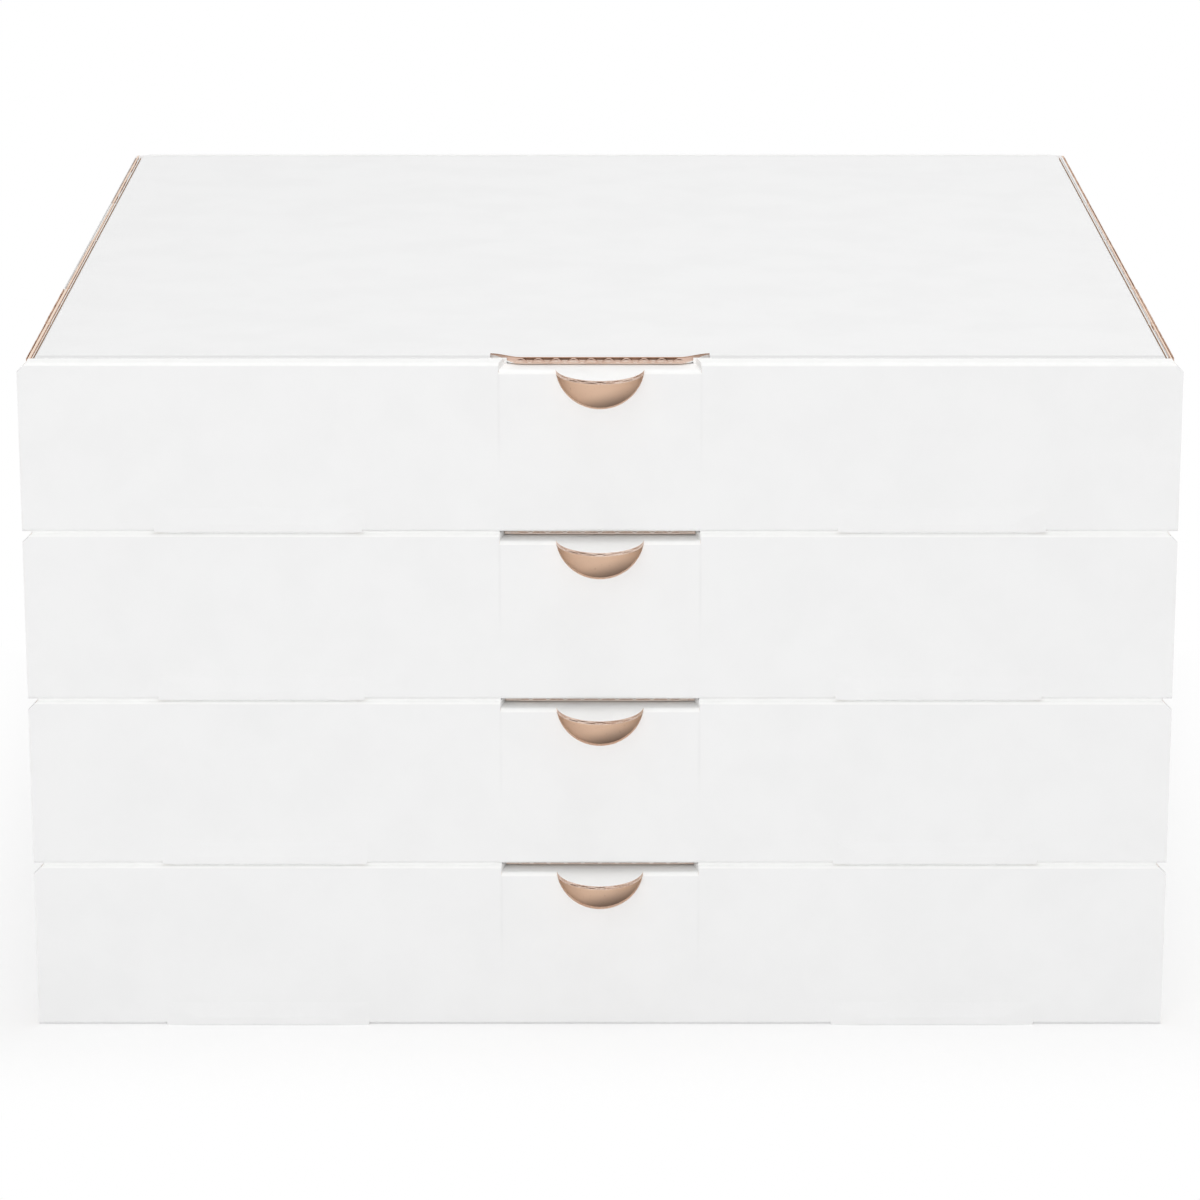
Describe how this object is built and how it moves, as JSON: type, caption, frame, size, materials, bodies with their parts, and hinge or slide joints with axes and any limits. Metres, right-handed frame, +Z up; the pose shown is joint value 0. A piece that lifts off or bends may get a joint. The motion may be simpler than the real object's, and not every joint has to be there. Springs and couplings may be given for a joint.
{
  "type": "stack of cardboard boxes",
  "caption": "Stack of low square folding boxes of corrugated board with rolled fronts and thumb holes; the top box's lid hinges open at its rear crease.",
  "frame": {"origin": "centre of the underside of the bottom box's bottom panel, on the surface that the stack stands on", "axes": "+Z up, +X to the right seen from the front, -Y towards the front wall with the thumb holes"},
  "size_m": [0.416, 0.4288, 0.252],
  "materials": {
    "board": "matte",
    "lid_board": "matte"
  },
  "bodies": {
    "stack": {"bottom_box": "board", "second_box": "board", "third_box": "board", "top_box_tray": "board"},
    "lid": {"top_box_lid": "lid_board"}
  },
  "joints": [
    {"name": "lid_hinge", "type": "hinge", "parent": "stack", "child": "lid", "pos_m": [0, 0.208, 0.252], "axis": [-1, 0, 0], "range_deg": [0, 180]}
  ]
}
